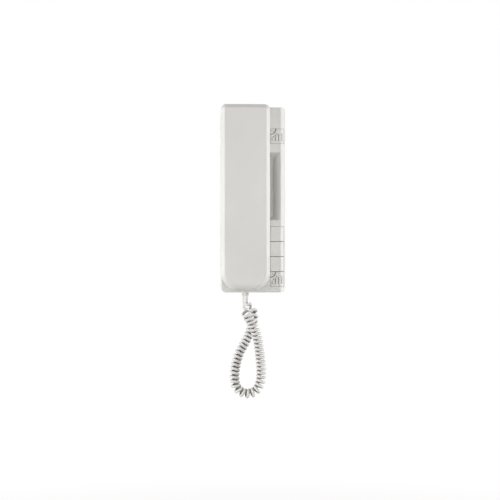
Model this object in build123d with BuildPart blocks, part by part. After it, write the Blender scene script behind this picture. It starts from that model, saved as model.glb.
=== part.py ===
from build123d import *
import os
from math import cos, dist, pi, sin, sqrt

# Audio intercom handset that hangs on its wall base. Millimetres.
# The origin is on the wall, behind the middle of the base. X points right, Y into the
# wall and Z up, so a depth in front of the wall is a place on minus Y.

# Base: a shell over a rear plate
base_width = 74.0
base_height = 213.0
base_depth = 27.0
base_corner_radius = 5.0
base_wall = 2.2
bevel_width = 5.2
bevel_round = 2.9
edge_round = 1.0
rim_gap = 0.3
running_gap = 0.3
seat_gap = 0.1
overrun = 1.0

# Handset, against the base
handset_right_inset = 19.5
handset_shortfall = 1.4
handset_thickness = 26.8
handset_overhang = 1.2
handset_z = 1.65
handset_rest_gap = 0.7
handset_wall = 2.2
handset_bevel = 4.2
handset_top_radius = 6.0
handset_bottom_round = 5.85
handset_foot_radius = 9.0
front_shell_depth = 10.5
lip_height = 1.4
lip_wall = 1.1
seam_width = 0.5
seam_depth = 0.4
grip_margin = 6.0
grip_rise = 5.0

# Cups of the handset and the pockets that they hang in
ear_margin = 11.5
mouth_margin = 16.5
cup_share = 0.3321
cup_round = 2.0
pocket_clearance = 1.5
board_room = 3.8

# Finger recess in the front of the base
recess_top_gap = 0.3
recess_bottom_gap = 7.2
recess_side = 5.7
recess_flank_width = 7.3
recess_flank_radius = 15.2
recess_swell_width = 5.0
recess_shelf_width = 15.0
recess_lift = 2.0
recess_shelf_rise = 3.0
recess_top_run = 8.0
recess_foot_run = 5.0

# Cells of the right-hand column: keys and sound outlets, one height each
cell_side = 1.6
cell_width = 16.1
cell_pitch = 17.3
cell_gap = 0.6
column_foot = 6.7
upper_cell_gap = 10.0
key_wall = 1.5
key_height = 6.0
key_travel = 1.2
key_count = 3
stem_radius = 2.0
lip_reach = 1.8
key_lip_thickness = 1.4

# Corner well of each sound outlet, with a plug over a screw that holds the cover
well_radius = 6.6
well_depth = 8.0
seat_wall = 2.0
seat_side = 4.5
plug_gap = 0.9
plug_sink = 0.4
plug_notch_width = 0.6
plug_notch_depth = 0.8
screw_inset = 2.75
screw_head_radius = 1.8
screw_head_height = 1.3
screw_shank_radius = 1.1
screw_fit = 0.05
driver_width = 0.6
slot_width = 0.65
ring_slot_count = 3
ring_slot_radius = 9.4
ring_slot_length = 2.2
upright_slot_count = 4
upright_slot_start = 1.8
upright_slot_pitch = 3.8
upright_slot_top = 9.8
upright_slot_step = 1.8
upright_slot_foot = 14.2

# Rear plate, its wall screws and the hole for the wall cable
plate_thickness = 2.5
plate_gap = 0.2
wall_hole_radius = 2.25
wall_hole_spacing = 83.5
cable_hole_radius = 10.0
cable_hole_z = 20.0
post_radius = 3.0
standoff_radius = 2.6

# Circuit board
board_depth = 6.0
board_thickness = 1.6
board_left_gap = 6.0
board_right_gap = 4.0
board_top_gap = 4.0
board_foot_gap = 3.0
board_hole_inset = 4.0
board_hole_radius = 1.35
board_screw_head_radius = 2.3
board_screw_head_height = 1.4
switch_side = 6.0
switch_height = 3.6
switch_button_radius = 1.7
switch_button_height = 1.2
terminal_width = 30.0
terminal_height = 11.0
terminal_depth = 9.0
terminal_x = 2.0
terminal_count = 5
terminal_entry_width = 3.6
terminal_entry_height = 3.0
terminal_screw_radius = 1.9
terminal_screw_height = 2.6
terminal_slot_width = 0.6
sounder_radius = 6.0
sounder_height = 9.0
sounder_inset = 8.2
sounder_drop = 11.5
sounder_port_radius = 1.5
sounder_port_depth = 2.0
sounder_seat_wall = 1.0
sounder_seat_height = 2.5

# Hook plunger that the hung handset holds down
hook_side = 13.0
hook_rise = 39.0
hook_radius = 3.0
hook_travel = 4.0
hook_stop_gap = 0.9
hook_flange_radius = 4.6
hook_flange_thickness = 1.4
hook_tip_round = 1.0
hook_switch_width = 11.0
hook_switch_length = 13.0
hook_switch_height = 4.6

# Inside the handset
ear_capsule_share = 0.784
ear_capsule_height = 7.0
ear_back_step = 5.5
ear_back_height = 2.5
gasket_thickness = 1.5
gasket_width = 2.5
mouth_capsule_radius = 5.0
mouth_capsule_height = 5.0
boot_wall = 1.6
boot_floor = 1.2
sound_hole_radius = 1.1
sound_ring_radius = 6.0
sound_hole_count = 6
mouth_slot_length = 7.0
mouth_slot_width = 1.4
mouth_slot_pitch = 3.6
handset_screw_inset = 9.0
handset_post_radius = 4.0
handset_head_radius = 2.6
handset_head_height = 1.6
handset_shank_radius = 1.3
handset_screw_rise = 8.3
handset_screw_length = 14.0

# Cord: straight tails from a collar on the handset and one on the base, and a coil
wire_diameter = 3.4
coil_diameter = 11.0
curl_pitch = 4.3
curl_bend_share = 1.05
curl_opening_share = 3.0
curl_opening_length = 26.0
curl_ramp_length = 14.0
wire_sides = 4
wire_corner_radius = 1.75
collar_flange_radius = 3.6
collar_flange_height = 1.5
collar_neck_radius = 2.7
collar_fit = 0.1
collar_radius = 2.6
collar_tip_radius = 2.1
handset_cord_x = -12.0
handset_cord_rise = 10.3
handset_collar_length = 5.9
base_cord_x = -7.0
base_cord_depth = 11.0
base_collar_length = 4.7

os.makedirs("parts", exist_ok=True)

board_front = board_depth + board_thickness
pocket_floor = board_front + board_screw_head_height + board_room + base_wall
handset_right = base_width / 2 - handset_right_inset
handset_left = -base_width / 2 - handset_overhang
handset_width = handset_right - handset_left
handset_x = (handset_left + handset_right) / 2
handset_bottom_radius = handset_width / 2 - handset_bottom_round
cup_radius = handset_width * cup_share
ear_capsule_radius = cup_radius * ear_capsule_share
ear_back_radius = ear_capsule_radius - ear_back_step
pocket_radius = cup_radius + pocket_clearance
cup_face = pocket_floor + running_gap
handset_length = base_height - handset_shortfall
handset_back_depth = base_depth + handset_rest_gap
handset_depth = handset_back_depth + handset_thickness
parting_depth = handset_depth - front_shell_depth
ear_z = base_height / 2 - pocket_radius - ear_margin
mouth_z = pocket_radius + mouth_margin - base_height / 2
cup_places = [(handset_x, ear_z), (handset_x, mouth_z)]
grip_length = ear_z - mouth_z - 2 * (cup_radius + grip_margin)
cell_right = base_width / 2 - cell_side
cell_left = cell_right - cell_width
lower_cell_top = column_foot + cell_pitch - base_height / 2
keys_top = lower_cell_top + key_count * cell_pitch
recess_top = ear_z - pocket_radius - recess_top_gap
recess_bottom = keys_top + recess_bottom_gap
recess_right = base_width / 2 - recess_side
recess_crease = recess_right - recess_flank_width
recess_shelf_right = recess_crease - recess_swell_width
recess_shelf_left = recess_shelf_right - recess_shelf_width
recess_depth = pocket_floor + recess_lift
recess_shelf_depth = recess_depth + recess_shelf_rise
upper_cell_top = recess_top + upper_cell_gap + cell_pitch
well_floor = base_depth - well_depth
key_back = base_depth - key_height
outlet_tops = [upper_cell_top, lower_cell_top]
cap_left = cell_left + running_gap
cap_right = cell_right - running_gap
column_middle = (cell_left + cell_right) / 2
screw_places = [(cell_left + screw_inset, top - screw_inset) for top in outlet_tops]
key_middles = [keys_top - (k + 0.5) * cell_pitch for k in range(key_count)]
wall_screw_places = [(0, wall_hole_spacing / 2), (0, -wall_hole_spacing / 2)]
board_left = board_left_gap - base_width / 2
board_right = base_width / 2 - board_right_gap
board_top = cable_hole_z - cable_hole_radius - board_top_gap
board_bottom = lower_cell_top + board_foot_gap
board_width = board_right - board_left
board_height = board_top - board_bottom
board_middle = ((board_left + board_right) / 2, (board_top + board_bottom) / 2)
board_screw_places = [
    (board_left + board_hole_inset, board_top - board_hole_inset),
    (board_right - board_hole_inset, board_top - board_hole_inset),
    (board_left + board_hole_inset, board_bottom + board_hole_inset),
    (cell_left - board_hole_inset, board_bottom + board_hole_inset),
]
terminal_z = (recess_bottom + mouth_z + pocket_radius) / 2
sounder_place = (cell_left + sounder_inset, upper_cell_top - sounder_drop)
hook_place = (hook_side - base_width / 2, mouth_z + hook_rise)
hook_flange_depth = (
    base_depth - base_wall - hook_travel - hook_stop_gap - hook_flange_thickness
)
handset_cord_depth = handset_back_depth + handset_cord_rise
handset_bottom = handset_z - handset_length / 2
handset_screw_seat = handset_back_depth + handset_screw_rise
handset_screw_reach = grip_length / 2 - handset_screw_inset
handset_screw_places = [
    (handset_x, handset_z + handset_screw_reach),
    (handset_x, handset_z - handset_screw_reach),
]

# Middle line of the coil from the handset's tail to the base's tail, chosen by hand,
# with its heights measured from the foot of the base
coil_route = [
    (handset_cord_x, -handset_cord_depth, -15.5),
    (handset_cord_x, -handset_cord_depth, -22.5),
    (-8.8, -36.9, -30.3),
    (-2.4, -35.6, -37.9),
    (2.4, -34.4, -47.3),
    (5.2, -33.0, -58.0),
    (7.0, -31.6, -69.5),
    (8.2, -30.2, -81.0),
    (9.0, -28.9, -92.5),
    (8.0, -27.6, -104.0),
    (3.6, -26.5, -113.3),
    (-4.8, -25.4, -117.9),
    (-14.0, -24.3, -116.1),
    (-20.4, -23.1, -108.7),
    (-22.0, -21.9, -98.1),
    (-20.9, -20.7, -87.8),
    (-18.7, -19.4, -77.7),
    (-15.2, -18.2, -68.1),
    (-10.6, -16.9, -58.9),
    (-6.0, -15.6, -49.5),
    (-2.4, -14.4, -39.9),
    (-0.6, -13.4, -31.7),
    (-1.0, -12.5, -24.5),
    (-4.2, -11.7, -20.3),
    (base_cord_x, -base_cord_depth, -16.3),
    (base_cord_x, -base_cord_depth, -11.5),
]


def front_plane(depth):
    return Plane.XZ.offset(depth)


def save(piece, name):
    piece.label = name
    export_step(piece, "parts/" + name + ".step")


def disc(centre, radius, low, high, mode=Mode.ADD):
    with BuildSketch(front_plane(low)) as face:
        with Locations(centre):
            Circle(radius)
    extrude(face.sketch, amount=high - low, mode=mode)


def driver_cross(centre, radius, low, high):
    # cross recess in the head of a screw
    with BuildSketch(front_plane(low)) as face:
        with Locations(centre):
            Rectangle(radius, driver_width)
            Rectangle(driver_width, radius)
    extrude(face.sketch, amount=high - low, mode=Mode.SUBTRACT)


def block(low_corner, high_corner, low, high, mode=Mode.ADD):
    with BuildSketch(front_plane(low)) as face:
        with Locations(low_corner):
            Rectangle(
                high_corner[0] - low_corner[0],
                high_corner[1] - low_corner[1],
                align=(Align.MIN, Align.MIN),
            )
    extrude(face.sketch, amount=high - low, mode=mode)


def bevelled_section(left, right, inset, back):
    # section across the base, with the bevel along its right-hand edge
    front = base_depth - inset
    bend = base_width / 2 - bevel_width - inset * (sqrt(2) - 1)
    with BuildLine() as outline:
        Polyline(
            (left, -back),
            (left, -front),
            (bend, -front),
            (right, -(front - (right - bend))),
            (right, -back),
            close=True,
        )
    make_face(outline.edges())
    fillet(vertices().group_by(Axis.Y)[0].sort_by(Axis.X)[-1], bevel_round - inset)


def base_form(inset, back):
    # the base's outside moved in by inset
    with BuildPart() as form:
        with BuildSketch(front_plane(back)) as outline:
            RectangleRounded(
                base_width - 2 * inset,
                base_height - 2 * inset,
                base_corner_radius - inset,
            )
        extrude(outline.sketch, amount=base_depth - inset - back)
        if not inset:
            fillet(form.faces().sort_by(Axis.Y)[0].edges(), edge_round)
        with BuildSketch(Plane.XY.offset(-base_height / 2)) as across:
            bevelled_section(-base_width, base_width / 2 - inset, inset, back - overrun)
            side = across.vertices().group_by(Axis.X)[-1].sort_by(Axis.Y)[0]
            fillet(side, bevel_round - inset)
        extrude(across.sketch, amount=base_height, mode=Mode.INTERSECT)
    return form.part


# Hollow forms that the base cover is moulded round


def recess_form(grow):
    # a shelf under the handset that swells down to a crease, a bulging flank up to the
    # right-hand rim, and a slope at each end
    with BuildPart() as form:
        with BuildSketch(Plane.XY.offset(-base_height / 2)) as across:
            with BuildLine():
                shelf = Line(
                    (recess_shelf_left, -recess_shelf_depth),
                    (recess_shelf_right, -recess_shelf_depth),
                )
                TangentArc(shelf @ 1, (recess_crease, -recess_depth), tangent=(1, 0))
                RadiusArc(
                    (recess_crease, -recess_depth),
                    (recess_right, -base_depth),
                    -recess_flank_radius,
                )
                Polyline(
                    (recess_right, -base_depth),
                    (recess_right, -base_depth - overrun),
                    (recess_shelf_left, -base_depth - overrun),
                    shelf @ 0,
                )
            make_face()
            if grow:
                offset(amount=grow)
        extrude(across.sketch, amount=base_height)
        with BuildSketch(Plane.YZ.offset(recess_shelf_left - grow)) as along:
            with BuildLine():
                Polyline(
                    (-base_depth - overrun, recess_top),
                    (-base_depth, recess_top),
                    (-recess_depth, recess_top - recess_top_run),
                    (-recess_depth, recess_bottom + recess_foot_run),
                    (-base_depth, recess_bottom),
                    (-base_depth - overrun, recess_bottom),
                    close=True,
                )
            make_face()
            if grow:
                offset(amount=grow)
        extrude(along.sketch, amount=recess_right - recess_shelf_left + 2 * grow, mode=Mode.INTERSECT)
    return form.part


def cup_pockets(grow, mode):
    for place in cup_places:
        disc(place, pocket_radius + grow, pocket_floor - grow, base_depth + overrun, mode)


recess = recess_form(0)

with BuildPart() as base_cavity:
    add(base_form(base_wall, rim_gap - overrun))
    cup_pockets(base_wall, Mode.SUBTRACT)

with BuildPart() as base_cover:
    add(base_form(0, rim_gap))
    add(base_cavity.part, mode=Mode.SUBTRACT)
    add(recess, mode=Mode.SUBTRACT)
    cup_pockets(0, Mode.SUBTRACT)
    # seats behind the corner wells, then the windows of the right-hand column
    for top in outlet_tops:
        block(
            (cell_left - seat_side, top - well_radius - seat_side / 2),
            (cell_left + well_radius + seat_side / 2, top - cell_gap),
            well_floor - seat_wall,
            base_depth - base_wall + seat_gap,
        )
    for low, high in (
        (upper_cell_top - cell_pitch, upper_cell_top),
        (lower_cell_top - cell_pitch, keys_top),
    ):
        block((cell_left, low), (cell_right, high), well_floor, base_depth + overrun, Mode.SUBTRACT)
    for place in screw_places:
        disc(place, screw_shank_radius + screw_fit, 0, base_depth, Mode.SUBTRACT)
    disc(hook_place, hook_radius + running_gap, pocket_floor, base_depth + overrun, Mode.SUBTRACT)
    with BuildSketch(Plane.XY.offset(-base_height / 2)):
        with Locations((base_cord_x, -base_cord_depth)):
            Circle(collar_neck_radius + collar_fit)
    extrude(amount=2 * base_wall, mode=Mode.SUBTRACT)
save(base_cover.part, "base_cover")

# tray of the finger recess, fixed behind the window in the cover
with BuildPart() as recess_tray:
    add(recess_form(base_wall))
    add(base_cavity.part, mode=Mode.INTERSECT)
    add(recess, mode=Mode.SUBTRACT)
save(recess_tray.part, "recess_tray")

with BuildPart() as rear_plate:
    with BuildSketch(Plane.XZ):
        RectangleRounded(
            base_width - 2 * (base_wall + plate_gap),
            base_height - 2 * (base_wall + plate_gap),
            base_corner_radius - base_wall - plate_gap,
        )
        with Locations(*wall_screw_places):
            Circle(wall_hole_radius, mode=Mode.SUBTRACT)
        with Locations((0, cable_hole_z)):
            Circle(cable_hole_radius, mode=Mode.SUBTRACT)
    extrude(amount=plate_thickness)
    for place in screw_places:
        disc(place, post_radius, plate_thickness, well_floor - seat_wall - seat_gap)
        disc(place, screw_shank_radius + screw_fit, plate_thickness, base_depth, Mode.SUBTRACT)
    with BuildSketch(front_plane(plate_thickness)):
        with Locations(*board_screw_places):
            Circle(standoff_radius)
            Circle(screw_shank_radius + screw_fit, mode=Mode.SUBTRACT)
    extrude(amount=board_depth - plate_thickness)
    with BuildSketch(front_plane(plate_thickness)):
        with Locations(sounder_place):
            Circle(sounder_radius + seat_gap + sounder_seat_wall)
            Circle(sounder_radius + seat_gap, mode=Mode.SUBTRACT)
    extrude(amount=sounder_seat_height)
save(rear_plate.part, "rear_plate")


# Right-hand column


def column_cap(top, back):
    # a hollow cap, open at the back, one cell high
    height = cell_pitch - cell_gap
    with BuildSketch(Plane.XY.offset(top - cell_gap / 2 - height)) as outside:
        bevelled_section(cap_left, cap_right, 0, back)
    extrude(outside.sketch, amount=height)
    with BuildSketch(Plane.XY.offset(top - cell_gap / 2 - height + key_wall)) as inside:
        bevelled_section(cap_left + key_wall, cap_right - key_wall, key_wall, back - overrun)
    extrude(inside.sketch, amount=height - 2 * key_wall, mode=Mode.SUBTRACT)


for number, middle in enumerate(key_middles):
    with BuildPart() as key:
        column_cap(middle + cell_pitch / 2, key_back)
        disc(
            (column_middle, middle),
            stem_radius,
            board_front + switch_height + switch_button_height + key_travel + running_gap,
            base_depth - key_wall,
        )
        # lip behind the cover's edge, which keeps the key in
        lip_front = base_depth - base_wall - running_gap
        block(
            (cell_left - lip_reach, middle - cell_pitch / 4),
            (cap_left + key_wall, middle + cell_pitch / 4),
            lip_front - key_lip_thickness,
            lip_front,
        )
    save(key.part, "key_" + ["upper", "middle", "lower"][number])

for top, name in zip(outlet_tops, ["sound_outlet_upper", "sound_outlet_lower"]):
    with BuildPart() as outlet:
        column_cap(top, well_floor + seat_gap)
        well_centre = (cap_left, top - cell_gap / 2)
        # quarter-round well at the corner, then slots that fan out from it
        disc(well_centre, well_radius + key_wall, well_floor + seat_gap, base_depth)
        block(
            (cell_left - well_radius - key_wall - overrun, top - cell_pitch),
            (cap_left, top + well_radius + key_wall + overrun),
            0,
            base_depth + overrun,
            Mode.SUBTRACT,
        )
        block(
            (cell_left - overrun, top - cell_gap / 2),
            (cell_right, top + well_radius + key_wall + overrun),
            0,
            base_depth + overrun,
            Mode.SUBTRACT,
        )
        disc(well_centre, well_radius, 0, base_depth + overrun, Mode.SUBTRACT)
        with BuildSketch(front_plane(key_back)):
            with Locations(well_centre):
                ring_step = 90 / (ring_slot_count + 1)
                ring_turn = 90 - 2 * ring_step
                with PolarLocations(ring_slot_radius, ring_slot_count, -90 + ring_step, ring_turn):
                    SlotOverall(ring_slot_length, slot_width)
            for k in range(upright_slot_count):
                slot_x = well_centre[0] + upright_slot_start + k * upright_slot_pitch
                drop = upright_slot_top - k * upright_slot_step
                with Locations((slot_x, well_centre[1] - (drop + upright_slot_foot) / 2)):
                    SlotOverall(upright_slot_foot - drop, slot_width, rotation=90)
        extrude(amount=key_height + overrun, mode=Mode.SUBTRACT)
    save(outlet.part, name)

with BuildPart() as cover_screws:
    for place in screw_places:
        disc(place, screw_head_radius, well_floor, well_floor + screw_head_height)
        disc(place, screw_shank_radius, plate_thickness, well_floor)
        driver_cross(
            place,
            screw_head_radius,
            well_floor + screw_head_height / 2,
            well_floor + screw_head_height,
        )
save(cover_screws.part, "cover_screws")

# quarter-round plugs over the cover's screws, each with a notch to prise it out
with BuildPart() as screw_plugs:
    for place, top in zip(screw_places, outlet_tops):
        corner = (cap_left, top - cell_gap / 2)
        with BuildSketch(front_plane(well_floor)) as quarter:
            with Locations(corner):
                Circle(well_radius - plug_gap)
                Rectangle(
                    well_radius,
                    well_radius,
                    align=(Align.MIN, Align.MAX),
                    mode=Mode.INTERSECT,
                )
        extrude(quarter.sketch, amount=well_depth - plug_sink)
        disc(
            place,
            screw_head_radius + screw_fit,
            well_floor,
            well_floor + screw_head_height + seat_gap,
            Mode.SUBTRACT,
        )
        with BuildSketch(front_plane(base_depth - plug_sink - plug_notch_depth)) as notch:
            with Locations(corner):
                with PolarLocations(well_radius / 2, 1, -45):
                    Rectangle(well_radius / 2, plug_notch_width)
        extrude(notch.sketch, amount=plug_notch_depth, mode=Mode.SUBTRACT)
save(screw_plugs.part, "screw_plugs")

# Circuit board and what stands on it

with BuildPart() as circuit_board:
    with BuildSketch(front_plane(board_depth)):
        with Locations(board_middle):
            Rectangle(board_width, board_height)
        with Locations(*board_screw_places):
            Circle(board_hole_radius, mode=Mode.SUBTRACT)
    extrude(amount=board_thickness)
save(circuit_board.part, "circuit_board")

with BuildPart() as board_screws:
    for place in board_screw_places:
        disc(place, screw_shank_radius, plate_thickness, board_front)
        disc(
            place,
            board_screw_head_radius,
            board_front,
            board_front + board_screw_head_height,
        )
        driver_cross(
            place,
            board_screw_head_radius,
            board_front + board_screw_head_height / 2,
            board_front + board_screw_head_height,
        )
save(board_screws.part, "board_screws")

with BuildPart() as key_switches:
    for middle in key_middles:
        corner = (column_middle - switch_side / 2, middle - switch_side / 2)
        far_corner = (column_middle + switch_side / 2, middle + switch_side / 2)
        block(corner, far_corner, board_front, board_front + switch_height)
        disc(
            (column_middle, middle),
            switch_button_radius,
            board_front + switch_height,
            board_front + switch_height + switch_button_height,
        )
save(key_switches.part, "key_switches")

with BuildPart() as hook_switch:
    block(
        (hook_place[0] - hook_switch_width / 2, hook_place[1] - hook_switch_length / 2),
        (hook_place[0] + hook_switch_width / 2, hook_place[1] + hook_switch_length / 2),
        board_front,
        board_front + hook_switch_height,
    )
save(hook_switch.part, "hook_switch")

terminal_pitch = terminal_width / terminal_count
terminal_places = [
    (terminal_x + (k - (terminal_count - 1) / 2) * terminal_pitch, terminal_z)
    for k in range(terminal_count)
]
with BuildPart() as terminal_block:
    block(
        (terminal_x - terminal_width / 2, terminal_z - terminal_height / 2),
        (terminal_x + terminal_width / 2, terminal_z + terminal_height / 2),
        board_front,
        board_front + terminal_depth,
    )
    for place in terminal_places:
        disc(
            place,
            terminal_screw_radius + seat_gap,
            board_front + terminal_depth - terminal_screw_height,
            board_front + terminal_depth + overrun,
            Mode.SUBTRACT,
        )
        block(
            (place[0] - terminal_entry_width / 2, terminal_z - terminal_height / 2 - overrun),
            (place[0] + terminal_entry_width / 2, terminal_z - terminal_height / 4),
            board_front + seat_wall / 2,
            board_front + seat_wall / 2 + terminal_entry_height,
            Mode.SUBTRACT,
        )
save(terminal_block.part, "terminal_block")

with BuildPart() as terminal_screws:
    for place in terminal_places:
        front = board_front + terminal_depth - terminal_screw_height / 4
        disc(place, terminal_screw_radius, board_front + terminal_depth - terminal_screw_height, front)
        block(
            (place[0] - terminal_slot_width / 2, place[1] - terminal_screw_radius),
            (place[0] + terminal_slot_width / 2, place[1] + terminal_screw_radius),
            front - terminal_screw_height / 4,
            front,
            Mode.SUBTRACT,
        )
save(terminal_screws.part, "terminal_screws")

with BuildPart() as call_sounder:
    disc(sounder_place, sounder_radius, plate_thickness, plate_thickness + sounder_height)
    disc(
        sounder_place,
        sounder_port_radius,
        plate_thickness + sounder_height - sounder_port_depth,
        plate_thickness + sounder_height,
        Mode.SUBTRACT,
    )
save(call_sounder.part, "call_sounder")


# Handset


def grip_depth(z):
    # depth of the handset's back along the grip's circular arch
    half = grip_length / 2
    radius = (half * half + grip_rise * grip_rise) / (2 * grip_rise)
    away = z - handset_z
    return handset_back_depth + grip_rise - radius + sqrt(radius * radius - away * away)


def handset_prism(inset, low, high, mode=Mode.ADD):
    with BuildSketch(front_plane(low)) as face:
        with Locations((handset_x, handset_z)):
            Rectangle(handset_width - 2 * inset, handset_length - 2 * inset)
        fillet(face.vertices().group_by(Axis.Y)[-1], handset_top_radius - inset)
        fillet(face.vertices().group_by(Axis.Y)[0], handset_bottom_radius - inset)
    extrude(face.sketch, amount=high - low, mode=mode)


def handset_front_form(inset):
    # a prism with bevelled front edges and a rounder foot
    with BuildPart() as form:
        handset_prism(inset, parting_depth, handset_depth - inset)
        chamfer(
            form.faces().sort_by(Axis.Y)[0].edges(),
            handset_bevel - inset * (2 - sqrt(2)),
        )
        foot = handset_foot_radius - inset
        low = handset_bottom + inset
        front = handset_depth - inset
        with BuildSketch(Plane.YZ.offset(handset_x - handset_width / 2 - overrun)):
            with BuildLine():
                RadiusArc((-front, low + foot), (foot - front, low), -foot)
                Polyline(
                    (foot - front, low),
                    (foot - front, low - overrun),
                    (-front - overrun, low - overrun),
                    (-front - overrun, low + foot),
                    (-front, low + foot),
                )
            make_face()
        extrude(amount=handset_width + 2 * overrun, mode=Mode.SUBTRACT)
    return form.part


def grip_arch(grow):
    half = grip_length / 2
    with BuildPart() as form:
        with BuildSketch(Plane.YZ.offset(handset_x - handset_width / 2 - overrun)):
            with BuildLine():
                arch = ThreePointArc(
                    (-handset_back_depth - grow, handset_z - half),
                    (-handset_back_depth - grip_rise - grow, handset_z),
                    (-handset_back_depth - grow, handset_z + half),
                )
                Polyline(
                    arch @ 1,
                    (-handset_back_depth + overrun, handset_z + half),
                    (-handset_back_depth + overrun, handset_z - half),
                    arch @ 0,
                )
            make_face()
        extrude(amount=handset_width + 2 * overrun)
    return form.part


front_inside = handset_front_form(handset_wall)
arch_outside = grip_arch(0)
arch_inside = grip_arch(handset_wall)

with BuildPart() as seam_groove:
    handset_prism(-overrun, parting_depth, parting_depth + seam_width)
    handset_prism(seam_depth, parting_depth, parting_depth + seam_width, Mode.SUBTRACT)

with BuildPart() as handset_front:
    add(handset_front_form(0))
    add(front_inside, mode=Mode.SUBTRACT)
    add(seam_groove.part, mode=Mode.SUBTRACT)
    # lip that reaches into the back shell, on a step inside the wall
    handset_prism(handset_wall / 2, parting_depth, parting_depth + lip_wall)
    handset_prism(handset_wall + seat_gap, parting_depth - lip_height, parting_depth)
    handset_prism(
        handset_wall + seat_gap + lip_wall,
        parting_depth - lip_height,
        parting_depth + 2 * lip_wall,
        Mode.SUBTRACT,
    )
    for place in handset_screw_places:
        disc(
            place,
            handset_post_radius,
            handset_screw_seat + handset_wall + seat_gap,
            handset_depth - handset_wall,
        )
        disc(
            place,
            handset_shank_radius + screw_fit,
            handset_screw_seat,
            handset_screw_seat + handset_screw_length,
            Mode.SUBTRACT,
        )
save(handset_front.part, "handset_front")

with BuildPart() as cup_form:
    for place in cup_places:
        disc(place, cup_radius, cup_face, handset_back_depth + overrun)
    chamfer(cup_form.faces().group_by(Axis.Y)[-1].edges(), cup_round)

with BuildPart() as back_cavity:
    handset_prism(handset_wall, handset_back_depth + handset_wall, parting_depth + overrun)
    add(arch_inside, mode=Mode.SUBTRACT)
    for place in handset_screw_places:
        seat = handset_screw_seat + handset_wall
        disc(place, handset_post_radius, handset_back_depth, seat, Mode.SUBTRACT)
    for place in cup_places:
        disc(place, cup_radius - handset_wall, cup_face + handset_wall, handset_back_depth + handset_wall)

with BuildPart() as handset_back:
    handset_prism(0, handset_back_depth, parting_depth)
    add(arch_outside, mode=Mode.SUBTRACT)
    add(cup_form.part)
    add(back_cavity.part, mode=Mode.SUBTRACT)
    for place in handset_screw_places:
        disc(place, handset_head_radius + seat_gap, handset_back_depth, handset_screw_seat, Mode.SUBTRACT)
        disc(
            place,
            handset_shank_radius + screw_fit,
            handset_screw_seat,
            handset_screw_seat + 2 * handset_wall,
            Mode.SUBTRACT,
        )
    with BuildSketch(front_plane(cup_face - overrun)):
        with Locations((handset_x, ear_z)):
            Circle(sound_hole_radius)
            with PolarLocations(sound_ring_radius, sound_hole_count):
                Circle(sound_hole_radius)
        with Locations((handset_x, mouth_z)):
            with GridLocations(mouth_slot_pitch, 0, 3, 1):
                Rectangle(mouth_slot_width, mouth_slot_length)
    extrude(amount=handset_wall + 2 * overrun, mode=Mode.SUBTRACT)
    with BuildSketch(Plane.XY.offset(handset_bottom - overrun)):
        with Locations((handset_cord_x, -handset_cord_depth)):
            Circle(collar_neck_radius + collar_fit)
    extrude(amount=handset_wall + 2 * overrun, mode=Mode.SUBTRACT)
save(handset_back.part, "handset_back")

with BuildPart() as handset_screws:
    for place in handset_screw_places:
        disc(place, handset_head_radius, handset_screw_seat - handset_head_height, handset_screw_seat)
        disc(
            place,
            handset_shank_radius,
            handset_screw_seat,
            handset_screw_seat + handset_screw_length - seat_gap,
        )
        driver_cross(
            place,
            handset_head_radius,
            handset_screw_seat - handset_head_height,
            handset_screw_seat - handset_head_height / 2,
        )
save(handset_screws.part, "handset_screws")

cup_inside = cup_face + handset_wall
with BuildPart() as earpiece_gasket:
    with BuildSketch(front_plane(cup_inside)):
        with Locations((handset_x, ear_z)):
            Circle(ear_capsule_radius)
            Circle(ear_capsule_radius - gasket_width, mode=Mode.SUBTRACT)
    extrude(amount=gasket_thickness)
save(earpiece_gasket.part, "earpiece_gasket")

with BuildPart() as earpiece_capsule:
    capsule_back = cup_inside + gasket_thickness + ear_capsule_height
    disc((handset_x, ear_z), ear_capsule_radius, cup_inside + gasket_thickness, capsule_back)
    disc((handset_x, ear_z), ear_back_radius, capsule_back, capsule_back + ear_back_height)
save(earpiece_capsule.part, "earpiece_capsule")

with BuildPart() as microphone_boot:
    boot_radius = mouth_capsule_radius + boot_wall
    disc((handset_x, mouth_z), boot_radius, cup_inside, cup_inside + boot_floor + mouth_capsule_height)
    disc(
        (handset_x, mouth_z),
        mouth_capsule_radius,
        cup_inside + boot_floor,
        cup_inside + boot_floor + mouth_capsule_height,
        Mode.SUBTRACT,
    )
    disc((handset_x, mouth_z), mouth_capsule_radius / 2, cup_inside, cup_inside + boot_floor, Mode.SUBTRACT)
save(microphone_boot.part, "microphone_boot")

with BuildPart() as microphone_capsule:
    disc(
        (handset_x, mouth_z),
        mouth_capsule_radius,
        cup_inside + boot_floor,
        cup_inside + boot_floor + mouth_capsule_height,
    )
save(microphone_capsule.part, "microphone_capsule")

with BuildPart() as hook_plunger:
    place = hook_place
    tip_depth = grip_depth(hook_place[1]) - running_gap
    bottom_depth = board_front + hook_switch_height + running_gap
    disc(place, hook_radius, bottom_depth, tip_depth)
    chamfer(hook_plunger.faces().sort_by(Axis.Y)[0].edges(), hook_tip_round)
    disc(place, hook_flange_radius, hook_flange_depth, hook_flange_depth + hook_flange_thickness)
save(hook_plunger.part, "hook_plunger")


# Cord


def collar(x, depth, wall_low, wall_high, length):
    # turned profile: flange inside the wall, neck in its hole, tapered sleeve below
    with BuildSketch(Plane(origin=(x, -depth, 0), x_dir=(1, 0, 0), z_dir=(0, -1, 0))) as half:
        with BuildLine():
            Polyline(
                (0, wall_high + collar_flange_height),
                (collar_flange_radius, wall_high + collar_flange_height),
                (collar_flange_radius, wall_high),
                (collar_neck_radius, wall_high),
                (collar_neck_radius, wall_low),
                (collar_radius, wall_low),
                (collar_tip_radius, wall_low - length),
                (0, wall_low - length),
                close=True,
            )
        make_face()
    revolve(half.sketch, axis=Axis((x, -depth, 0), (0, 0, 1)))


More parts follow.
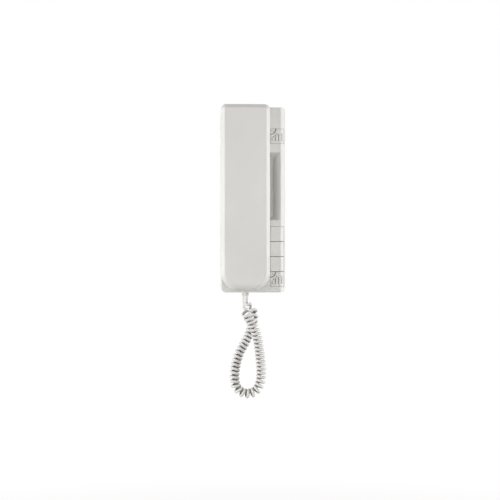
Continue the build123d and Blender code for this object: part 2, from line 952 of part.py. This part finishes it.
with BuildPart() as handset_collar:
    collar(
        handset_cord_x,
        handset_cord_depth,
        handset_bottom,
        handset_bottom + handset_wall,
        handset_collar_length,
    )
save(handset_collar.part, "handset_collar")

with BuildPart() as base_collar:
    collar(
        base_cord_x,
        base_cord_depth,
        -base_height / 2,
        base_wall - base_height / 2,
        base_collar_length,
    )
save(base_collar.part, "base_collar")


def middle_of(a, b):
    return tuple((p + q) / 2 for p, q in zip(a, b))


placed_route = [(x, y, z - base_height / 2) for x, y, z in coil_route]
with BuildLine() as coil_spine:
    # quadratic curves between the middles of the route's runs
    last = len(placed_route) - 2
    for k in range(1, last + 1):
        begin, bend, finish = placed_route[k - 1 : k + 2]
        Bezier(
            begin if k == 1 else middle_of(begin, bend),
            bend,
            finish if k == last else middle_of(bend, finish),
        )

spine = coil_spine.wire()
spine_length = spine.length
curl_radius = (coil_diameter - wire_diameter) / 2


def spine_tangent(at):
    return spine % min(1, max(0, at / spine_length))


def curvature(at):
    step = wire_diameter / 4
    return (spine_tangent(at + step) - spine_tangent(at - step)).length / (2 * step)


# half turns along the spine, wider apart where it bends and towards both ends
march = wire_diameter / 16


def from_end(at):
    return min(at, spine_length - at)


def half_pitch(at):
    bend = curvature(at) * curl_radius
    opening = min(1, max(0, 2 - 2 * from_end(at) / curl_opening_length))
    return curl_pitch / 2 * (1 + curl_bend_share * bend + curl_opening_share * opening)


stations = [0]
at = 0
turned = 0
while at < spine_length:
    turned += march / half_pitch(at)
    at += march
    if turned >= len(stations):
        stations.append(at - (turned - len(stations)) * half_pitch(at))
stretch = spine_length / stations[-1]
stations = [at * stretch for at in stations]
half_turns = len(stations) - 1


def curl_point(half_turn):
    # left-handed helix round the spine, drawn in to it towards both ends
    half_turn = min(half_turns, max(0, half_turn))
    whole = min(half_turns - 1, int(half_turn))
    at = stations[whole] + (half_turn - whole) * (stations[whole + 1] - stations[whole])
    share = min(1, from_end(at) / curl_ramp_length)
    reach = curl_radius * share * share * (3 - 2 * share)
    ahead = spine_tangent(at)
    level = Vector(0, 1, 0)
    inward = (level - ahead * ahead.dot(level)).normalized()
    sideways = inward.cross(ahead).normalized()
    turn = pi * half_turn
    return spine @ (at / spine_length) + (sideways * cos(turn) - inward * sin(turn)) * reach


def curl_tangent(half_turn):
    step = 0.02
    if half_turn in (0, half_turns):
        return spine_tangent(stations[half_turn])
    return (curl_point(half_turn + step) - curl_point(half_turn - step)).normalized()


def biarc_middle(start, start_way, end, end_way):
    # where two tangent arcs of equal reach meet
    chord = end - start
    turn = 2 * (start_way.dot(end_way) - 1)
    along = chord.dot(start_way + end_way)
    if abs(turn) < 1e-9:
        reach = chord.dot(chord) / (2 * along)
    else:
        reach = (2 * along - sqrt(4 * along * along - 4 * turn * chord.dot(chord))) / (2 * turn)
        if reach < 0:
            reach = (2 * along + sqrt(4 * along * along - 4 * turn * chord.dot(chord))) / (2 * turn)
    near = start + start_way * reach
    far = end - end_way * reach
    return (near + far) * 0.5, (far - near).normalized()


straight_end = Vector(0, 0, wire_diameter)
with BuildLine() as curls:
    Line(spine @ 0 + straight_end, spine @ 0)
    for k in range(half_turns):
        begin, begin_way = curl_point(k), curl_tangent(k)
        finish, finish_way = curl_point(k + 1), curl_tangent(k + 1)
        meeting, meeting_way = biarc_middle(begin, begin_way, finish, finish_way)
        TangentArc(begin, meeting, tangent=begin_way)
        TangentArc(meeting, finish, tangent=meeting_way)
    Line(spine @ 1, spine @ 1 + straight_end)

with BuildPart() as cord_coil:
    with BuildSketch(Plane(origin=spine @ 0 + straight_end, z_dir=spine % 0)) as wire_section:
        RegularPolygon(wire_corner_radius, wire_sides)
    sweep(path=curls.wire(), clean=False)
save(cord_coil.part, "cord_coil")

tails = [
    ("cord_tail_handset", spine @ 0, handset_bottom - handset_collar_length),
    ("cord_tail_base", spine @ 1, -base_height / 2 - base_collar_length),
]
for name, end, top in tails:
    with BuildPart() as tail:
        with BuildSketch(Plane(origin=end + straight_end, z_dir=(0, 0, 1))):
            Circle(wire_diameter / 2)
        extrude(amount=top - end.Z - wire_diameter)
    save(tail.part, name)

# the coil's length, its tightest arc, its volume and the least gap between its turns
coil_path = curls.wire()
radii = [edge.radius for edge in coil_path.edges() if edge.geom_type == GeomType.CIRCLE]
samples = [tuple(curl_point(k / 8)) for k in range(8 * half_turns + 1)]
least = min(
    dist(samples[i], samples[j])
    for i in range(len(samples))
    for j in range(i + 9, len(samples))
)
print("curls", half_turns / 2, "spine", round(spine_length, 1), "wire", round(coil_path.length, 1))
print("tightest arc", round(min(radii), 2))
print("volume", round(cord_coil.part.volume), "of", round(wire_section.sketch.area * coil_path.length))
print("least gap", round(least - wire_diameter, 2))
print("least gap at the corners", round(least - 2 * wire_corner_radius, 2))
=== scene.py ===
import bmesh
import bpy
import math
from bisect import bisect_right
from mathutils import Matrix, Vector, kdtree
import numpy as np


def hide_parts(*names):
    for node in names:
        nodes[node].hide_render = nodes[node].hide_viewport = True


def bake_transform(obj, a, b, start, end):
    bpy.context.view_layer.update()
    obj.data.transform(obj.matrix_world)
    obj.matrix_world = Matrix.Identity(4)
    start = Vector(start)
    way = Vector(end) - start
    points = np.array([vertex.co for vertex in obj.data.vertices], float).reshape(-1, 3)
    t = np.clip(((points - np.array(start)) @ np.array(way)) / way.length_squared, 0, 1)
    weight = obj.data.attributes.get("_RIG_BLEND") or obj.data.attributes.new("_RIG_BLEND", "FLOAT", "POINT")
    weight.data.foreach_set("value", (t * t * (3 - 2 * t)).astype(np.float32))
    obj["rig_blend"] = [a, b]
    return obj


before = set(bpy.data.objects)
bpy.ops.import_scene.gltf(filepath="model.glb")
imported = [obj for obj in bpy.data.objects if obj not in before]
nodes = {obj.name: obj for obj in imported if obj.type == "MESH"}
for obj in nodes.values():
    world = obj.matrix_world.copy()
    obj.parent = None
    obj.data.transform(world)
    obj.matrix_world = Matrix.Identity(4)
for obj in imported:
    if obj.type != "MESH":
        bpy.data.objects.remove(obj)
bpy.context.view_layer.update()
scene = bpy.context.scene
print("frame loaded:", len(nodes), "nodes")


# camera, as the photograph was taken: level, a little from the left

view = {
    "target": (-0.0040, -0.027, -0.0577),
    "distance": 1.473,
    "azimuth": -3.0,  # degrees
    "fieldOfView": 22.09,  # degrees across a square picture
    "nearest": 0.01,  # what lies nearer isn't drawn
}


def placeCamera():
    turn = math.radians(view["azimuth"])
    data = bpy.data.cameras.new("camera")
    data.angle = math.radians(view["fieldOfView"])
    data.clip_start = view["nearest"]
    camera = bpy.data.objects.new("camera", data)
    away = Vector((math.sin(turn), -math.cos(turn), 0))
    camera.location = Vector(view["target"]) + away * view["distance"]
    camera.rotation_euler = (math.radians(90), 0, turn)
    scene.collection.objects.link(camera)
    scene.camera = camera


placeCamera()
scene.view_settings.view_transform = "Standard"
print("camera placed")


# nodes for the materials

noiseSpan = (0.3, 0.7)  # most of a noise's values lie between these


def startMaterial(name, roughness=0.5, specular=0.5, metallic=0.0):
    material = bpy.data.materials.new(name)
    material.use_nodes = True
    shader = material.node_tree.nodes["Principled BSDF"]
    shader.inputs["Roughness"].default_value = roughness
    shader.inputs["Specular IOR Level"].default_value = specular
    shader.inputs["Metallic"].default_value = metallic
    return material, material.node_tree, shader


def addNode(tree, kind, links=None, **values):
    node = tree.nodes.new(kind)
    for name, value in values.items():
        setattr(node, name, value)
    for socket, source in (links or {}).items():
        if isinstance(source, bpy.types.NodeSocket):
            tree.links.new(source, node.inputs[socket])
        else:
            node.inputs[socket].default_value = source
    return node


def noiseOn(tree, scale, detail=2.0, roughness=0.5, stretch=None):
    place = addNode(tree, "ShaderNodeTexCoord").outputs["Object"]
    if stretch:
        place = addNode(tree, "ShaderNodeMapping", {"Vector": place, "Scale": stretch}).outputs[0]
    noise = addNode(tree, "ShaderNodeTexNoise", {"Vector": place, "Scale": scale, "Detail": detail,
                                                 "Roughness": roughness})
    return noise.outputs["Fac"]


def between(tree, factor, low, high, span=noiseSpan):
    spread = addNode(tree, "ShaderNodeMapRange", {"Value": factor, "From Min": span[0], "From Max": span[1],
                                                  "To Min": low, "To Max": high})
    return spread.outputs["Result"]


def tones(tree, factor, dark, light):
    ramp = addNode(tree, "ShaderNodeValToRGB", {"Fac": factor})
    for stop, position, colour in zip(ramp.color_ramp.elements, noiseSpan, (dark, light)):
        stop.position = position
        stop.color = (*colour, 1)
    return ramp.outputs["Color"]


def mixColours(tree, share, first, second):
    # in a Mix node, sockets 6 and 7 hold its two colours, and output 2 their mix
    mix = addNode(tree, "ShaderNodeMix", {"Factor": share, 6: first, 7: second}, data_type="RGBA")
    return mix.outputs[2]


def dress(tree, shader, colour, roughness, height, depth):
    tree.links.new(colour, shader.inputs["Base Color"])
    tree.links.new(roughness, shader.inputs["Roughness"])
    bump = addNode(tree, "ShaderNodeBump", {"Height": height, "Distance": depth, "Strength": 1.0})
    tree.links.new(bump.outputs["Normal"], shader.inputs["Normal"])


# moulded plastic: slow drift of tone, a fine eroded grain, and sheen that varies over it

plastics = {
    "housing": {"dark": (0.655, 0.645, 0.620), "light": (0.700, 0.690, 0.665), "gloss": (0.42, 0.54),
                "grain": 2600, "grainDepth": 0.00003},
    "keys": {"dark": (0.660, 0.650, 0.625), "light": (0.705, 0.695, 0.670), "gloss": (0.38, 0.48),
             "grain": 3200, "grainDepth": 0.00002},
    "outlets": {"dark": (0.650, 0.640, 0.615), "light": (0.695, 0.685, 0.660), "gloss": (0.40, 0.52),
                "grain": 2900, "grainDepth": 0.00003},
    "rearMoulding": {"dark": (0.640, 0.630, 0.605), "light": (0.690, 0.680, 0.650), "gloss": (0.34, 0.50),
                     "grain": 1800, "grainDepth": 0.00004},
    "cordSleeve": {"dark": (0.640, 0.630, 0.600), "light": (0.690, 0.680, 0.650), "gloss": (0.46, 0.58),
                   "grain": 2200, "grainDepth": 0.00003},
    "cordJacket": {"dark": (0.690, 0.680, 0.655), "light": (0.745, 0.735, 0.710), "gloss": (0.30, 0.42),
                   "grain": 1500, "grainDepth": 0.00002,
                   # painted shade: a darker colour painted where the cord's curls face each other, standing
                   # in for the shade between them
                   "paintedShade": {"colour": (0.300, 0.293, 0.278), "reach": 0.0075, "openFrom": 0.45}},
    "blackPlastic": {"dark": (0.016, 0.016, 0.018), "light": (0.028, 0.028, 0.030), "gloss": (0.34, 0.50),
                     "grain": 2600, "grainDepth": 0.00003},
    "greenPlastic": {"dark": (0.030, 0.160, 0.070), "light": (0.045, 0.210, 0.095), "gloss": (0.34, 0.48),
                     "grain": 2600, "grainDepth": 0.00002},
    "softRubber": {"dark": (0.020, 0.020, 0.021), "light": (0.036, 0.036, 0.038), "gloss": (0.70, 0.85),
                   "grain": 900, "grainDepth": 0.00008},
}
plasticNoise = {
    "drift": (14, 3),  # scale and detail of each noise
    "sheen": (160, 3),
    "grainDetail": 2,
    "grainRoughness": 0.6,
    # samples for the painted shade between the cord's curls
    "paintedShadeSamples": 8,
}


def paintCreviceShade(tree, colour, paintedShade):
    # painted shade: the less open a place is to its surroundings, the darker its colour is painted
    bare = addNode(tree, "ShaderNodeAmbientOcclusion", {"Distance": paintedShade["reach"]},
                   samples=plasticNoise["paintedShadeSamples"], only_local=True)
    share = between(tree, bare.outputs["AO"], 0.0, 1.0, (paintedShade["openFrom"], 1.0))
    return mixColours(tree, share, (*paintedShade["colour"], 1), colour)


def makePlastic(name, look):
    material, tree, shader = startMaterial(name)
    colour = tones(tree, noiseOn(tree, *plasticNoise["drift"]), look["dark"], look["light"])
    # painted shade between the cord's curls
    if "paintedShade" in look:
        colour = paintCreviceShade(tree, colour, look["paintedShade"])
    grain = noiseOn(tree, look["grain"], plasticNoise["grainDetail"], plasticNoise["grainRoughness"])
    roughness = between(tree, noiseOn(tree, *plasticNoise["sheen"]), *look["gloss"])
    dress(tree, shader, colour, roughness, grain, look["grainDepth"])
    return material


# metals and the circuit board, each noise with its scale and detail

zincSteel = {
    "dark": (0.50, 0.50, 0.49),
    "light": (0.66, 0.66, 0.64),
    "gloss": (0.22, 0.42),
    "drift": (900, 4),
    "scuffs": (2500, 3),
    "pits": (5000, 2),
    "pitDepth": 0.00001,
}
canMetal = {
    "dark": (0.62, 0.62, 0.63),
    "light": (0.74, 0.74, 0.75),
    "gloss": (0.22, 0.38),
    "lines": (700, 2),
    "stretch": (1, 1, 9),
    "lineDepth": 0.00001,
}
solderMask = {
    "dark": (0.012, 0.048, 0.026),
    "light": (0.018, 0.064, 0.034),
    "tracks": (0.030, 0.092, 0.052),
    "gloss": (0.24, 0.40),
    "weave": (1400, 2),
    "trackScale": 260.0,
    "trackFrom": 0.44,  # how far from a cell's middle its tracks begin, where its edge is at 0.5
    "trackHeight": 0.00003,
}


def makeZincSteel():
    material, tree, shader = startMaterial("zincSteel", metallic=1.0)
    colour = tones(tree, noiseOn(tree, *zincSteel["drift"]), zincSteel["dark"], zincSteel["light"])
    roughness = between(tree, noiseOn(tree, *zincSteel["scuffs"]), *zincSteel["gloss"])
    dress(tree, shader, colour, roughness, noiseOn(tree, *zincSteel["pits"]), zincSteel["pitDepth"])
    return material


def makeCanMetal():
    material, tree, shader = startMaterial("canMetal", metallic=1.0)
    lines = noiseOn(tree, *canMetal["lines"], stretch=canMetal["stretch"])
    colour = tones(tree, lines, canMetal["dark"], canMetal["light"])
    dress(tree, shader, colour, between(tree, lines, *canMetal["gloss"]), lines, canMetal["lineDepth"])
    return material


def makeSolderMask():
    material, tree, shader = startMaterial("solderMask")
    place = addNode(tree, "ShaderNodeTexCoord").outputs["Object"]
    cells = addNode(tree, "ShaderNodeTexVoronoi", {"Vector": place, "Scale": solderMask["trackScale"],
                                                   "Randomness": 0.0}, distance="CHEBYCHEV", feature="F1")
    tracks = addNode(tree, "ShaderNodeMath", {0: cells.outputs["Distance"], 1: solderMask["trackFrom"]},
                     operation="GREATER_THAN").outputs[0]
    weave = noiseOn(tree, *solderMask["weave"])
    under = tones(tree, weave, solderMask["dark"], solderMask["light"])
    colour = mixColours(tree, tracks, under, (*solderMask["tracks"], 1))
    dress(tree, shader, colour, between(tree, weave, *solderMask["gloss"]), tracks, solderMask["trackHeight"])
    return material


finishes = {name: makePlastic(name, look) for name, look in plastics.items()}
finishes["zincSteel"] = makeZincSteel()
finishes["canMetal"] = makeCanMetal()
finishes["solderMask"] = makeSolderMask()

wornBy = {
    "housing": ["base_cover", "recess_tray", "screw_plugs", "handset_front", "handset_back",
                "hook_plunger"],
    "rearMoulding": ["rear_plate"],
    "keys": ["key_upper", "key_middle", "key_lower"],
    "outlets": ["sound_outlet_upper", "sound_outlet_lower"],
    "cordSleeve": ["handset_collar", "base_collar"],
    "cordJacket": ["cord_coil", "cord_tail_handset", "cord_tail_base"],
    "blackPlastic": ["key_switches", "hook_switch", "call_sounder", "earpiece_capsule"],
    "greenPlastic": ["terminal_block"],
    "softRubber": ["earpiece_gasket", "microphone_boot"],
    "zincSteel": ["cover_screws", "board_screws", "terminal_screws", "handset_screws"],
    "canMetal": ["microphone_capsule"],
    "solderMask": ["circuit_board"],
}
for finish, wearers in wornBy.items():
    for name in wearers:
        nodes[name].data.materials.clear()
        nodes[name].data.materials.append(finishes[finish])
print("finishes made:", len(finishes))


# stage: pale floor well under the hanging cord, soft light mostly from both sides

paleFloor = {
    "height": -0.46,
    "size": 8.0,
    "dark": (0.50, 0.50, 0.49),
    "light": (0.54, 0.54, 0.53),
    "roughness": 0.7,
    "specular": 0.2,
    "driftScale": 3,
    "glow": (0.80, 1.0),  # share of plain white where the floor is seen, near and far
    "glowReach": (0.46, 0.9),  # how far from the origin near and far are
}
studio = {
    "fill": 0.42,  # strength of the white surroundings in the light on the object
    "aim": (0, 0, -0.03),
    "sideDistance": 1.6,
    "sideSize": (0.7, 1.0),
    "sideLamps": {"softLeft": (-73, 18.2), "softRight": (79, 17.2)},  # degrees from the front, watts
    "frontDistance": 1.9,
    "frontSize": (0.8, 0.4),
    "frontLamps": {"softHigh": (0.75, 3.0), "softLow": (-0.20, 5.0)},  # height, watts
    "backPlace": (0.1, 1.9, 0.8),
    "backSize": (1.4, 1.0),
    "backPower": 12.0,
}


def whiteForRays(tree):
    # 1 for rays that see the surroundings directly, in a reflection or through glass, otherwise 0
    path = addNode(tree, "ShaderNodeLightPath")
    seen = path.outputs["Is Camera Ray"]
    for ray in ("Is Glossy Ray", "Is Transmission Ray"):
        larger = addNode(tree, "ShaderNodeMath", {0: seen, 1: path.outputs[ray]}, operation="MAXIMUM")
        seen = larger.outputs[0]
    return seen


def lightWorld():
    world = bpy.data.worlds.new("studio")
    world.use_nodes = True
    tree = world.node_tree
    background = tree.nodes["Background"]
    background.inputs["Color"].default_value = (1, 1, 1, 1)
    strength = addNode(tree, "ShaderNodeMapRange", {"Value": whiteForRays(tree), "To Min": studio["fill"],
                                                    "To Max": 1.0})
    tree.links.new(strength.outputs["Result"], background.inputs["Strength"])
    scene.world = world


def makeFloorMaterial():
    material, tree, shader = startMaterial("paleFloor", paleFloor["roughness"], paleFloor["specular"])
    colour = tones(tree, noiseOn(tree, paleFloor["driftScale"]), paleFloor["dark"], paleFloor["light"])
    tree.links.new(colour, shader.inputs["Base Color"])
    glow = addNode(tree, "ShaderNodeEmission", {"Color": (1, 1, 1, 1), "Strength": 1.0})
    place = addNode(tree, "ShaderNodeTexCoord").outputs["Object"]
    reach = addNode(tree, "ShaderNodeVectorMath", {0: place}, operation="LENGTH").outputs["Value"]
    spread = between(tree, reach, *paleFloor["glow"], paleFloor["glowReach"])
    share = addNode(tree, "ShaderNodeMath", {0: whiteForRays(tree), 1: spread}, operation="MULTIPLY")
    blend = addNode(tree, "ShaderNodeMixShader", {0: share.outputs[0], 1: shader.outputs[0],
                                                  2: glow.outputs[0]})
    tree.links.new(blend.outputs[0], tree.nodes["Material Output"].inputs["Surface"])
    return material


def layFloor():
    shape = bmesh.new()
    bmesh.ops.create_grid(shape, x_segments=1, y_segments=1, size=paleFloor["size"] / 2)
    bmesh.ops.translate(shape, verts=shape.verts, vec=(0, 0, paleFloor["height"]))
    mesh = bpy.data.meshes.new("floor")
    shape.to_mesh(mesh)
    shape.free()
    mesh.materials.append(makeFloorMaterial())
    floor = bpy.data.objects.new("floor", mesh)
    scene.collection.objects.link(floor)


def softLight(name, place, size, power):
    data = bpy.data.lights.new(name, "AREA")
    data.shape = "RECTANGLE"
    data.size, data.size_y = size
    data.energy = power
    lamp = bpy.data.objects.new(name, data)
    lamp.location = place
    lamp.rotation_euler = (Vector(studio["aim"]) - Vector(place)).to_track_quat("-Z", "Y").to_euler()
    scene.collection.objects.link(lamp)


def lightStage():
    for name, (angle, power) in studio["sideLamps"].items():
        turn = math.radians(angle)
        place = (studio["sideDistance"] * math.sin(turn), -studio["sideDistance"] * math.cos(turn), 0)
        softLight(name, place, studio["sideSize"], power)
    for name, (height, power) in studio["frontLamps"].items():
        softLight(name, (0, -studio["frontDistance"], height), studio["frontSize"], power)
    softLight("softBack", studio["backPlace"], studio["backSize"], studio["backPower"])


lightWorld()
layFloor()
lightStage()
print("stage lit")


# curly cord: one helix round the listed route, tails and all

cord = {
    "diameter": 0.0034,
    "coilDiameter": 0.0117,
    "pitch": 0.0045,
    "bendShare": 1.05,  # curls move apart where the route bends
    "openingShare": 0.9,  # and towards both of its ends
    "openingLength": 0.012,
    "rampLength": 0.006,  # over which the first and last curl grow to the coil's width
    "stepsPerCurl": 28,
    "marchesPerDiameter": 16,  # steps along the route in which its curls are added up
    "wayStep": 0.0006,  # half the run on which the route's direction is read
    "bendStep": 0.0003,  # the same, where its bend is read
    "handsetCollarFoot": (-0.0120, -0.0380, -0.11005),
    "handsetTailShares": (0.33, 0.66),  # points between that collar and the coil
    "baseCollarFoot": (-0.0070, -0.0110, -0.1112),
    "baseTailShares": (0.5,),
    "foot": -0.1065,  # underside of the base, from which the route's heights are measured
    "routeSteps": 24,  # steps in which the route's curve is read between two of its points
    "roundness": 4,  # bevel resolution of the wire's section
}
coilRoute = [
    (-0.0114, -0.0380, -0.0155), (-0.0108, -0.0380, -0.0222), (-0.0058, -0.0369, -0.0296),
    (-0.0002, -0.0356, -0.0376), (0.0032, -0.0344, -0.0473), (0.0055, -0.0330, -0.0580),
    (0.0070, -0.0316, -0.0695), (0.0082, -0.0302, -0.0810), (0.0090, -0.0289, -0.0925),
    (0.0080, -0.0276, -0.1040), (0.0036, -0.0265, -0.1128), (-0.0048, -0.0254, -0.1170),
    (-0.0140, -0.0243, -0.1154), (-0.0204, -0.0231, -0.1087), (-0.0220, -0.0219, -0.0981),
    (-0.0209, -0.0207, -0.0878), (-0.0187, -0.0194, -0.0777), (-0.0152, -0.0182, -0.0681),
    (-0.0094, -0.0169, -0.0589), (-0.0046, -0.0156, -0.0495), (-0.0012, -0.0144, -0.0399),
    (0.0008, -0.0134, -0.0317), (0.0010, -0.0125, -0.0240), (-0.0018, -0.0117, -0.0184),
    (-0.0073, -0.0110, -0.0163), (-0.0074, -0.0110, -0.0115),
]


def routeLine():
    curve = bpy.data.curves.new("route", "CURVE")
    curve.dimensions = "3D"
    curve.resolution_u = cord["routeSteps"]
    spline = curve.splines.new("NURBS")
    spline.points.add(len(coilRoute) - 1)
    for point, (x, y, z) in zip(spline.points, coilRoute):
        point.co = (x, y, z + cord["foot"], 1)
    spline.order_u = 3
    spline.use_endpoint_u = True
    holder = bpy.data.objects.new("route", curve)
    mesh = bpy.data.meshes.new_from_object(holder)
    line = [vertex.co.copy() for vertex in mesh.vertices]
    bpy.data.objects.remove(holder)
    bpy.data.curves.remove(curve)
    bpy.data.meshes.remove(mesh)
    return line


def marksAlong(line):
    marks = [0.0]
    for start, end in zip(line, line[1:]):
        marks.append(marks[-1] + (end - start).length)
    return marks


def runAt(marks, along):
    return min(len(marks) - 2, max(0, bisect_right(marks, along) - 1))


def placeAt(line, marks, along):
    along = min(marks[-1], max(0.0, along))
    k = runAt(marks, along)
    return line[k].lerp(line[k + 1], (along - marks[k]) / (marks[k + 1] - marks[k]))


def wayAt(line, marks, along, step=cord["wayStep"]):
    return (placeAt(line, marks, along + step) - placeAt(line, marks, along - step)).normalized()


def bendAt(line, marks, along):
    reach = cord["diameter"] / 4
    ways = [wayAt(line, marks, along + side * reach, cord["bendStep"]) for side in (-1, 1)]
    return (ways[1] - ways[0]).length / (2 * reach)


def eased(share):
    return share * share * (3 - 2 * share)


def turnsAlong(line, marks, radius):
    length = marks[-1]
    march = cord["diameter"] / cord["marchesPerDiameter"]
    turns, along = [0.0], [0.0]
    while along[-1] < length:
        here = along[-1] + march
        fromEnd = min(here, length - here)
        opening = min(1.0, max(0.0, 2 - 2 * fromEnd / cord["openingLength"]))
        wider = cord["bendShare"] * bendAt(line, marks, here) * radius + cord["openingShare"] * opening
        turns.append(turns[-1] + march / (cord["pitch"] * (1 + wider)))
        along.append(here)
    return turns, along


def helixOn(line):
    marks = marksAlong(line)
    length = marks[-1]
    radius = (cord["coilDiameter"] - cord["diameter"]) / 2
    turns, along = turnsAlong(line, marks, radius)
    roundedTurns = round(2 * turns[-1]) / 2  # to a half turn
    points = []
    for k in range(int(roundedTurns * cord["stepsPerCurl"]) + 1):
        turn = k / cord["stepsPerCurl"]
        place = turn * turns[-1] / roundedTurns
        j = runAt(turns, place)
        here = along[j] + (place - turns[j]) / (turns[j + 1] - turns[j]) * (along[j + 1] - along[j])
        here *= length / along[-1]
        reach = radius * eased(min(1.0, min(here, length - here) / cord["rampLength"]))
        ahead = wayAt(line, marks, here)
        inward = (Vector((0, 1, 0)) - ahead * ahead.y).normalized()
        sideways = inward.cross(ahead).normalized()
        angle = 2 * math.pi * turn
        outward = sideways * math.cos(angle) - inward * math.sin(angle)
        points.append(placeAt(line, marks, here) + outward * reach)
    return points


def tubeOn(path):
    curve = bpy.data.curves.new("curlyCord", "CURVE")
    curve.dimensions = "3D"
    curve.bevel_depth = cord["diameter"] / 2
    curve.bevel_resolution = cord["roundness"]
    curve.use_fill_caps = True
    spline = curve.splines.new("POLY")
    spline.points.add(len(path) - 1)
    for point, place in zip(spline.points, path):
        point.co = (*place, 1)
    holder = bpy.data.objects.new("curlyCordLine", curve)
    scene.collection.objects.link(holder)
    mesh = bpy.data.meshes.new_from_object(holder)
    bpy.data.objects.remove(holder)
    mesh.name = "curlyCord"
    mesh.materials.clear()
    mesh.materials.append(finishes["cordJacket"])
    for face in mesh.polygons:
        face.use_smooth = True
    return mesh


def followShares(mesh, path, marks):
    # each point follows the handset the less, the further along the cord it lies
    tree = kdtree.KDTree(len(path))
    for k, place in enumerate(path):
        tree.insert(place, k)
    tree.balance()
    return [eased(1 - marks[tree.find(vertex.co)[1]] / marks[-1]) for vertex in mesh.vertices]


def layCord():
    coil = helixOn(routeLine())
    top, end = Vector(cord["handsetCollarFoot"]), Vector(cord["baseCollarFoot"])
    handsetTail = [top.lerp(coil[0], share) for share in cord["handsetTailShares"]]
    baseTail = [coil[-1].lerp(end, share) for share in cord["baseTailShares"]]
    path = [top] + handsetTail + coil + baseTail + [end]
    marks = marksAlong(path)
    mesh = tubeOn(path)
    piece = bpy.data.objects.new("curlyCord", mesh)
    scene.collection.objects.link(piece)
    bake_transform(piece, "base", "handset", start=end, end=top)
    mesh.attributes["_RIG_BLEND"].data.foreach_set("value", followShares(mesh, path, marks))
    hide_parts("cord_coil", "cord_tail_handset", "cord_tail_base")


layCord()
